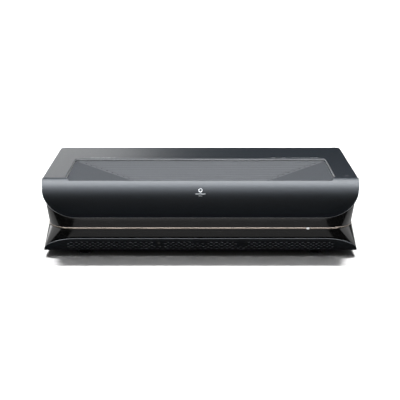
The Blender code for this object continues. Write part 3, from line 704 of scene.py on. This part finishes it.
def waist_skin(low, top, rows, out=0.0):
    """A sheet round the waist, from a height up to the height that top gives for each x and y."""
    count = len(waist_path(low))
    columns = 2 * count - 1

    def point(i, z):
        k = i - (count - 1)
        x, y = waist_path(z, out)[abs(k)]
        return (x if k >= 0 else -x), y

    tops = []
    for i in range(columns):
        z = low + 10
        for _ in range(24):
            z = (z + top(*point(i, z))) / 2
        tops.append(z)

    def place(i, j):
        z = low + (tops[i] - low) * j / (rows - 1)
        return (*point(i, z), z)

    return skin(columns, rows, place)


def make_waist():
    """Glossy bands above and below the trim. The upper one runs up behind the visor's ends."""
    def upper_top(x, y):
        if y > 0:
            return wing(y) - 0.15
        return min(max(98, visor_edge(x) + 6), wing(y) - 0.5, WING_TIP - 1)

    upper = finished(waist_skin(WAIST_LOW.z, upper_top, 36), "upper_waist_shell", GLOSS,
                     stands_for=["upper_waist"], crease=60)
    thicken(upper, WALL)
    window = rounded((30, 80), 184, 40, 4)
    for side in (-1, 1):
        cutter = slab(bmesh.new(), window, side * 297 - 12, side * 297 + 12)
        cutter.transform(SIDEWAYS)
        carve(upper, cutter)
    soften(upper, 0.3, angle=50)
    lower = finished(waist_skin(LOWER_LOW.z, lambda x, y: LOWER_HIGH.z, 16), "lower_waist_shell", GLOSS,
                     stands_for=["lower_waist"], crease=60)
    thicken(lower, WALL)
    soften(lower, 0.3, angle=60)


def make_trim():
    """A rounded metal bead that follows the waist at its narrowest."""
    low, high = TRIM_LOW.z, TRIM_HIGH.z
    rounding = 0.6
    section = []
    for (u, v), start in zip(((1 - rounding, high - rounding), (-2.5 + rounding, high - rounding),
                              (-2.5 + rounding, low + rounding), (1 - rounding, low + rounding)),
                             (0, 90, 180, 270)):
        section += arc((u, v), rounding, rounding, start, start + 90, 5)
    section.append(section[0])
    count = len(waist_path(TRIM_MIDDLE))

    def place(i, j):
        out, z = section[j]
        k = i - (count - 1)
        x, y = waist_path(TRIM_MIDDLE, out)[abs(k)]
        return (x if k >= 0 else -x), y, z

    work = closed(skin(2 * count - 1, len(section), place))
    finished(work, "trim_bead", TRIM, stands_for=["trim_ring"], crease=50)


def make_base_skin():
    """The sloping base skin, with staggered rows of lozenge holes."""
    top, low, reach = SKIN_HIGH.z, SKIN_LOW.z, SKIN_HIGH.x
    flat, tip, inner, outer = 235, 13.5, 0.6, 2.2
    lozenge = ((-3.3, 0), (-1.3, -0.95), (1.3, -0.95), (3.3, 0), (1.3, 0.95), (-1.3, 0.95))
    end = arc((flat, tip), reach - flat, top - tip, 90, 3, 24)
    right = end + [(reach, tip), (reach - 2, low)]
    outline = [(x, z - top) for x, z in [(-x, z) for x, z in reversed(right)] + right]
    pitch, rise, rows = 10.3, 3.1, 5
    holes = []
    for row in range(rows):
        z = -8.6 - row * rise
        shift = pitch / 2 if row % 2 else 0
        for k in range(-25, 26):
            x = k * pitch + shift
            beside_sensor = abs(abs(x) - SENSOR_X) < 9 and row < 3
            in_gap = row == 0 and abs(x) < 18
            if abs(x) > 254 or beside_sensor or in_gap:
                continue
            holes.append([(x + dx, z + dz) for dx, dz in lozenge])
    holes.append(arc((-SENSOR_X, -9.5), 2.6, 2.6, 0, 350, 24))
    work = slab(bmesh.new(), outline, inner, outer, holes)
    edge = {(round(x, 3), round(z - top, 3)) for x, z in [(-x, z) for x, z in end] + end}

    def on_rim(vertex):
        x, y, z = vertex.co
        return z > outer - 0.1 and (round(x, 3), round(y, 3)) in edge

    rim = [e for e in work.edges if all(on_rim(v) for v in e.verts)]
    bmesh.ops.bevel(work, geom=rim, affect="EDGES", offset=1.5, segments=5, profile=0.5, material=-1)
    lean = Matrix.Rotation(math.atan2(3.7, top - low), 4, "X")
    stand = Matrix.Translation((0, SKIN_LOW.y + outer, top)) @ lean @ UPRIGHT
    finished(stood(work, stand), "base_skin", PAINT, stands_for=["front_grille"])
    cloth = slab(bmesh.new(), [(-256, -7), (-256, -22.8), (256, -22.8), (256, -7)], 0.1, 0.5)
    cloth.transform(stand)
    finished(cloth, "grille_cloth", CLOTH)


def make_cover():
    """The sliding cover: a fan of shallow slats between two plain triangles, which wear a darker grey as
    painted shade.
    """
    rear, front = PANEL_HIGH.y, PANEL_LOW.y
    top, corner = PANEL_HIGH.z, 5.4
    slats, steps = 11, 12
    fan_front, fan_rear = Vector((125, front)), Vector((247, rear - 13))
    across = [0, 0.25, 0.5, 0.75, 0.88, 0.94, 0.97, 0.99, 1.0]      # share of the way to the diagonal
    beyond = [0.02, 0.05, 0.4, 0.8, 0.97, 1.0]                        # share of the way on to the side
    half = [(u, 0.0) for u in across] + [(1.0, v) for v in beyond]
    count = len(half)

    def half_width(y):
        width = RECESS_HALF - 0.6 - max(RECESS_CORNER - y, 0) * RECESS_SLOPE
        past = max(y - (rear - corner), 0)
        return width - corner + math.sqrt(max(corner * corner - past * past, 0))

    def diagonal(y):
        return fan_front.lerp(fan_rear, min((y - front) / (fan_rear.y - front), 1)).x

    rows = slats * steps + 1

    def place(i, j):
        k = i - (count - 1)
        u, v = half[abs(k)]
        y = front + (rear - front) * j / (rows - 1)
        inner = min(diagonal(y), half_width(y) - 3)
        x = inner * u + (half_width(y) - inner) * v
        end = max(u - 0.9, 0) / 0.1 * (v == 0)
        inside = min((y - front) / 12, (rear - y) / 12, 1)
        curl = 8 * end * end * inside
        groove = max(0.0, math.cos(2 * math.pi * j / steps)) ** 2
        depth = (0.8 + 0.7 * end) * groove * (v == 0)
        step = 0.6 if v > 0 else 0.0
        return (x if k >= 0 else -x), y + curl, top - depth - step

    work = skin(2 * count - 1, rows, place)
    cover = finished(work, "cover_panel", RIBBED, body=COVER, stands_for=["lens_cover"], crease=20)
    # The plain triangles take the darker grey: painted shade, where the ribbed fan stays lighter.
    cover.data.materials.append(GREY_AND_PAINTED_SHADE)
    for face in cover.data.polygons:
        middle = face.center / MM
        if abs(middle.x) > min(diagonal(middle.y), 252) + 0.2:
            face.material_index = 1
    thicken(cover, 2.4)
    tongues = []
    for side in (-1, 1):
        ends = sorted((side * 251.5, side * 261))
        tongues.append(block((ends[0], -130, 144), (ends[1], rear - 1, 145.6)))
    runners = finished(joined(tongues), "cover_runners", NYLON, body=COVER)
    soften(runners, 0.3)


def make_painted_highlight_seal():
    """A pale pile seal that lines the recess with a slanted face and brushes the cover as it slides. Its pale
    colour paints the highlight of the recess's lit rear wall, fainter along the sides.
    """
    path = [Vector(inner) for inner, _, _, _ in deck_stations() if inner[1] > RECESS_CORNER + 2]
    low = PANEL_HIGH.z + 0.3
    section = [(-0.05, TOP - 0.9), (0.5, TOP - 1.1), (1.9, low + 0.4), (1.7, low), (-0.05, low),
               (-0.05, TOP - 0.9)]

    def place(i, j):
        along = (path[min(i + 1, len(path) - 1)] - path[max(i - 1, 0)]).normalized()
        inward = Vector((along.y, -along.x))
        out, z = section[j]
        width = 0.4 + 0.6 * abs(along.x)        # full along the rear, narrow along the sides
        return (*(path[i] + inward * out * width), z)

    lining = closed(skin(len(path), len(section), place))
    end = RECESS_HALF - 8
    wiper = block((-end, RECESS_REAR + 0.1, low), (end, RECESS_REAR + 3, CEILING - 0.1))
    finished(stood(joined([lining, wiper]), Matrix()), "recess_seal_painted_highlight", HIGHLIGHT_SEAL)


def visor_frame(z):
    """Where the visor's surface is at a height, and how it leans there."""
    t = visor_reach(lambda p: p.y < z)
    here, nearby = visor_point(t), visor_point(t + 0.01)
    down = (nearby - here).normalized()
    spot = Vector((0, here.x, here.y))
    up = Vector((0, -down.x, -down.y))
    out = Vector((1, 0, 0)).cross(up)
    turn = Matrix((Vector((1, 0, 0)), up, out)).transposed().to_4x4()
    return Matrix.Translation(spot) @ turn


def make_badge():
    """A plain mark on the visor: a small ring over two bars."""
    sunk, raised = -0.3, 0.2
    section = [(2.9, sunk), (2.9, 0.1), (3.05, 0.22), (3.55, 0.22), (3.7, 0.1), (3.7, sunk), (2.9, sunk)]
    marks = [turned(section, (0, 0, 0), 48)]
    for bar in ((19, 1.2, 0.4), (7, 0.8, 0.3)):
        marks.append(slab(bmesh.new(), rounded((0, 0), *bar), sunk, raised))
    for mark, height in zip(marks, (132, 125.5, 121.8)):
        mark.transform(visor_frame(height))
    finished(joined(marks), "badge_mark", BADGE, stands_for=["front_badge"])


def make_deck_prints():
    """Rows of small plain marks printed on the deck behind the recess."""
    bars = [(-222, 5), (-212, 9), (-200, 7), (-189, 9), (-178, 6), (150, 8), (171, 8)]
    bars += [(190 + 6 * k, 4.4) for k in range(6)] + [(229, 5), (238, 7)]
    works = []
    row_y, stroke, pitch, depth = 44.6, 1.3, 1.9, 4.6
    for x, width in bars:
        strokes = max(round(width / pitch), 2)
        for k in range(strokes):
            across = x + (k - (strokes - 1) / 2) * pitch
            short = depth * (0.65 if k % 3 == 1 else 1)
            outline = rounded((across, row_y), stroke, short, 0.5, 3)
            works.append(slab(bmesh.new(), outline, TOP - 0.05, TOP + 0.04))
    finished(joined(works), "deck_prints", INK)


def make_button():
    """A button cap with a turned groove round its shallow dish."""
    low, high = node_box("power_button")
    x, y, _ = (low + high) / 2
    r, z = (high.x - low.x) / 2, high.z
    profile = [(0, low.z), (r - 0.3, low.z), (r, low.z + 0.3), (r, z - 0.5), (r - 0.15, z - 0.15),
               (r - 0.5, z), (r - 1.1, z), (r - 1.3, z - 0.2), (r - 1.6, z - 0.2), (r - 1.8, z),
               (1.2, z - 0.12), (0, z - 0.16)]
    finished(turned(profile, (x, y, 0)), "power_cap", GREY_AND_PAINTED_SHADE, body="button", stands_for=["power_button"])


def make_foot(place):
    """A rubber pad on a threaded stem, with a ribbed ring to turn by hand."""
    low, high = node_box(place + "_foot_ring")
    x, y, _ = (low + high) / 2
    stem_low, stem_high = node_box(place + "_foot_stem")
    pad = (stem_high.x - stem_low.x) / 2
    turns, pitch, thread, stem = 19, 1.25, 0.35, 4
    profile = [(0, 0.4), (pad - 5, 0.4), (pad - 4.4, 0), (pad - 1, 0), (pad - 0.2, 0.8), (pad, 1.6),
               (pad, 3.4), (pad - 0.8, 4.6), (pad - 1.6, 4.8), (stem, 4.8)]
    for k in range(turns):
        base = 4.9 + k * pitch
        profile += [(stem - thread, base), (stem, base + pitch / 2)]
    profile += [(stem - 0.6, stem_high.z), (0, stem_high.z)]
    finished(turned(profile, (x, y, 0), 48), place + "_pad", RUBBER, body=place + "_stem",
             stands_for=[place + "_foot_stem"])
    flutes, r = 40, (high.x - low.x) / 2
    bore = 4.35
    section = [(bore, low.z + 0.2), (r - 2, low.z), (r - 0.4, low.z + 0.5), (r, low.z + 1.2),
               (r, high.z - 1.2), (r - 0.4, high.z - 0.5), (r - 2, high.z), (bore, high.z - 0.2),
               (bore, low.z + 0.2)]
    ring = turned(section, (0, 0, 0), flutes * 4)
    for vertex in ring.verts:
        reach = math.hypot(vertex.co.x, vertex.co.y)
        if reach > r - 1:
            angle = math.atan2(vertex.co.y, vertex.co.x)
            shrink = 1 - 0.5 * (0.5 + 0.5 * math.cos(angle * flutes)) / reach
            vertex.co.x *= shrink
            vertex.co.y *= shrink
    ring.transform(Matrix.Translation((x, y, 0)))
    finished(ring, place + "_knob", BLACK, body=place + "_ring", stands_for=[place + "_foot_ring"])


def screw(centre, direction, radius=2.6):
    """A domed screw head with a round recess in it."""
    head = [(0, 0), (radius, 0), (radius, 0.5), (radius * 0.85, 1.1), (radius * 0.55, 1.3)]
    work = turned(head + [(radius * 0.5, 1.3), (radius * 0.45, 0.4), (0, 0.4)], (0, 0, 0), 24)
    work.transform(Matrix.Translation(centre) @ direction)
    return work


def make_side_vents():
    """Side grilles with three columns of round-ended slots, and felt behind the rear column."""
    column_pitch, row_pitch, first_row = 60, 4.65, 6.2
    for side, name in ((-1, "left"), (1, "right")):
        low, high = node_box(name + "_vent_grille")
        y, z = (low.y + high.y) / 2, (low.z + high.z) / 2
        width, height = high.y - low.y, high.z - low.z
        slots = []
        for row in range(8):
            for column in (-1, 0, 1):
                spot = (y + column * column_pitch, low.z + first_row + row * row_pitch)
                slots.append(rounded(spot, 54, 2.4, 1.15, 4))
        work = slab(bmesh.new(), rounded((y, z), width, height, 4), low.x, high.x, slots)
        louvres = finished(stood(work, SIDEWAYS), name + "_louvres", BLACK,
                           stands_for=[name + "_vent_grille"])
        soften(louvres, 0.3, 2, 50)
        inner = low.x if side > 0 else high.x
        near, deep = sorted((inner - side * 1.0, inner - side * 1.6))
        felt = slab(bmesh.new(), rounded((y + column_pitch, z), 62, height - 3, 2, 3), near, deep)
        finished(stood(felt, SIDEWAYS), name + "_felt", FELT)


SOCKETS = ("hdmi_port_a", "hdmi_port_b", "hdmi_port_c", "usb_port_a", "usb_port_b", "network_port",
           "optical_port", "power_inlet")


def make_rear():
    """The socket panel, its felt, its screws and its plain printed marks."""
    face, inside = REAR_HIGH.y, REAR_LOW.y - REAR_HIGH.y
    middle = (REAR_LOW.z + REAR_HIGH.z) / 2
    width, height = REAR_HIGH.x - REAR_LOW.x, REAR_HIGH.z - REAR_LOW.z
    slot_middles, slot_width, slot_pitch, lowest_slot = (-201, 85), 70, 6.2, 99.8
    holes, marks = [], []
    for name in SOCKETS:
        low, high = node_box(name)
        x, z = (low.x + high.x) / 2, (low.z + high.z) / 2
        holes.append(rounded((x, z), high.x - low.x + 0.6, high.z - low.z + 0.6, 0.6, 3))
        mark = rounded((x, high.z + 5), min(high.x - low.x, 11), 1.6, 0.5, 3)
        marks.append(slab(bmesh.new(), mark, -0.2, 0.05))
    for x in slot_middles:
        for row in range(5):
            holes.append(rounded((x, lowest_slot + row * slot_pitch), slot_width, 3.6, 1.7, 5))
    stand = Matrix.Translation((0, face, 0)) @ UPRIGHT @ Matrix.Scale(-1, 4, (0, 0, 1))
    work = slab(bmesh.new(), rounded((0, middle), width, height, 3), inside, 0, holes)
    soften(finished(stood(work, stand), "rear_plate", BLACK, stands_for=["rear_panel"]), 0.3, 2, 50)
    felts = [slab(bmesh.new(), rounded((x, lowest_slot + 2 * slot_pitch), slot_width + 8, 34, 2, 3),
                  inside - 0.9, inside - 0.4) for x in slot_middles]
    for felt in felts:
        felt.transform(stand)
    for side in (-1, 1):
        x = side * (REAR_WINDOW + 1)
        low, high = (x - 3.5, face - 6.2, REAR_LOW.z + 2), (x + 3.5, face - 4.8, REAR_HIGH.z - 3)
        felts.append(block(low, high))
    finished(stood(joined(felts), Matrix()), "rear_felt", FELT)
    finished(stood(joined(marks), stand), "rear_prints", INK)
    outwards = Matrix.Rotation(math.radians(-90), 4, "X")
    spots = [(x, z) for x in (-238, -80, 80, 238) for z in (31, 134)]
    finished(joined([screw((x, face - 0.1, z), outwards) for x, z in spots]), "rear_screws", STEEL)


def make_socket_insides():
    """Contact tongues and gold contacts inside the rear sockets."""
    tongues, contacts = [], []

    def row(into, count, pitch, start, size):
        """A row of small blocks, from the low corner of the first one and the size of each."""
        for k in range(count):
            low = Vector(start) + Vector((k * pitch, 0, 0))
            into.append(block(low, low + Vector(size)))

    for name in SOCKETS:
        low, high = node_box(name)
        x, y, z = (low.x + high.x) / 2, high.y, (low.z + high.z) / 2
        if name.startswith("hdmi"):
            row(tongues, 1, 0, (x - 5.4, y - 11, z - 0.7), (10.8, 8.8, 1.2))
            row(contacts, 10, 1, (x - 4.6, y - 9, z + 0.5), (0.5, 6, 0.1))
        elif name.startswith("usb"):
            row(tongues, 1, 0, (x - 5.2, y - 12, z + 0.2), (10.4, 10.4, 1.7))
            row(contacts, 4, 2.4, (x - 4.2, y - 9, z + 0.1), (1.2, 6, 0.1))
        elif name == "network_port":
            row(contacts, 8, 1, (x - 3.8, y - 10, z + 3.1), (0.4, 7.5, 0.3))
    finished(joined(tongues), "socket_tongues", TONGUE)
    finished(joined(contacts), "socket_contacts", GOLD)


def make_underside():
    """Screws under the base pan."""
    low, _ = node_box("base_pan")
    down = Matrix.Rotation(math.pi, 4, "X")
    spots = [(x, y) for x in (-270, -90, 90, 270) for y in (-135, 150)] + [(-275, 10), (275, 10), (0, 10)]
    finished(joined([screw((x, y, low.z + 0.1), down, 3.2) for x, y in spots]), "base_screws", STEEL)


make_visor()
make_deck()
make_waist()
make_trim()
make_base_skin()
make_cover()
make_painted_highlight_seal()
make_badge()
make_deck_prints()
make_button()
for corner in ("front_left", "front_right", "rear_left", "rear_right"):
    make_foot(corner)
make_side_vents()
make_rear()
make_socket_insides()
make_underside()


# --- Finishes of the CAD pieces that stay ---------------------------------------------------------

def dress(look, *nodes):
    """Gives CAD pieces a look, with their shape left as it is."""
    for node in nodes:
        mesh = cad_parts[node].data
        mesh.materials.clear()
        mesh.materials.append(look)


dress(BLACK, "base_pan", "left_cover_rail", "right_cover_rail", "lens_well", "lens_barrel",
      "left_fan_frame", "right_fan_frame", "left_fan_rotor", "right_fan_rotor", "left_speaker_box",
      "right_speaker_box", "left_speaker_driver", "right_speaker_driver", "power_inlet", "optical_port")
dress(STEEL, "cover_motor", "focus_motor", "hdmi_port_a", "hdmi_port_b", "hdmi_port_c", "usb_port_a",
      "usb_port_b", "network_port")
dress(ALLOY, "engine_housing", "laser_module", "heat_sink", "power_supply")
dress(COPPER, "front_heat_pipe", "rear_heat_pipe")
dress(GLASS, "window_glass", "front_lens")
dress(GLOSS, "remote_sensor")
dress(MIRROR, "projection_mirror")
dress(BOARD, "chip_board", "main_board")
dress(LIGHT, "status_light")
dress(NYLON, "cover_rack", "cover_pinion", "focus_ring", "focus_pinion")


# --- Floor, light and camera -----------------------------------------------------------------------

def softbox(name, centre, target, width, height, radiance):
    """A lit panel that only reflections see: it shapes the sheen and leaves the floor alone."""
    lamp = bpy.data.lights.new(name, "AREA")
    lamp.shape = "RECTANGLE"
    lamp.size, lamp.size_y = width, height
    lamp.energy = radiance * math.pi * width * height
    panel = bpy.data.objects.new(name, lamp)
    panel.location = centre
    panel.rotation_euler = (Vector(target) - Vector(centre)).to_track_quat("-Z", "Y").to_euler()
    panel.visible_camera = panel.visible_diffuse = False
    bpy.context.scene.collection.objects.link(panel)
    return panel


def distant_lamp(name, direction, strength, spread_angle):
    """A far lamp that lights the floor and the object but isn't seen in the gloss."""
    lamp = bpy.data.lights.new(name, "SUN")
    lamp.energy = strength
    lamp.angle = math.radians(spread_angle)
    holder = bpy.data.objects.new(name, lamp)
    holder.rotation_euler = Vector(direction).to_track_quat("Z", "Y").to_euler()
    holder.visible_glossy = False
    bpy.context.scene.collection.objects.link(holder)


def make_stage():
    """A wide white floor under soft studio light."""
    work = bmesh.new()
    bmesh.ops.create_grid(work, x_segments=1, y_segments=1, size=40)
    mesh = bpy.data.meshes.new("floor")
    work.to_mesh(mesh)
    work.free()
    floor = bpy.data.objects.new("floor", mesh)
    bpy.context.scene.collection.objects.link(floor)
    paper = surface("white_paper", "F2F2F2", 0.9, Specular_IOR_Level=0.0)[0]
    mesh.materials.append(paper)
    floor.visible_glossy = False

    world = bpy.data.worlds.new("studio")
    world.use_nodes = True
    bpy.context.scene.world = world
    backdrop = world.node_tree.nodes["Background"]
    backdrop.inputs["Color"].default_value = linear("FFFFFF")
    backdrop.inputs["Strength"].default_value = 0.05

    rear_lean, side_lean = 0.45, 0.24
    distant_lamp("left_rear_lamp", (-side_lean, rear_lean, 1), 3.8, 9)
    distant_lamp("right_rear_lamp", (side_lean, rear_lean, 1), 3.8, 9)
    distant_lamp("haze_lamp", (0, rear_lean, 1), 0.8, 60)

    softbox("overhead_box", (0, -0.45, 1.6), (0, -0.45, 0), 3.2, 1.4, 52)
    softbox("front_high_box", (0, -1.75, 1.65), (0, -0.17, 0.12), 3.2, 0.85, 15)
    softbox("front_low_box", (0, -2.2, 1.02), (0, -0.17, 0.12), 3.2, 0.5, 4)
    softbox("near_card", (0, -0.3, 0.01), (0, -0.3, 1), 0.54, 0.2, 0.45)
    softbox("far_card", (0, -0.85, 0.01), (0, -0.85, 1), 0.575, 0.9, 0.92)
    softbox("rear_card", (-2.15, 3.6, 1.0), (0, 0, 0.1), 4.2, 1.6, 3.3)
    for side, name in ((-1, "left"), (1, "right")):
        softbox(name + "_card", (side * 1.1, 0.05, 0.6), (0, 0.05, 0.15), 1.1, 1.2, 1.3)
        softbox(name + "_floor_card", (side * 0.8, 0.675, 0.01), (side * 0.8, 0.675, 1), 1.0, 1.65, 0.5)
    fill = softbox("fill_box", (0, -3, 3), (0, -3, 0), 16, 16, 0.05)
    fill.visible_diffuse, fill.visible_glossy = True, False


def make_camera():
    """A long lens about 2.3 m in front, looking down 13 degrees."""
    lens = bpy.data.cameras.new("camera")
    lens.sensor_width = 36
    lens.lens = 104.92
    eye = bpy.data.objects.new("camera", lens)
    eye.location = (-0.0008, -2.3103, 0.6163)
    eye.rotation_euler = (math.radians(90 - 13.226), 0, 0)
    bpy.context.scene.collection.objects.link(eye)
    bpy.context.scene.camera = eye


make_stage()
make_camera()
bpy.context.scene.view_settings.view_transform = "Standard"
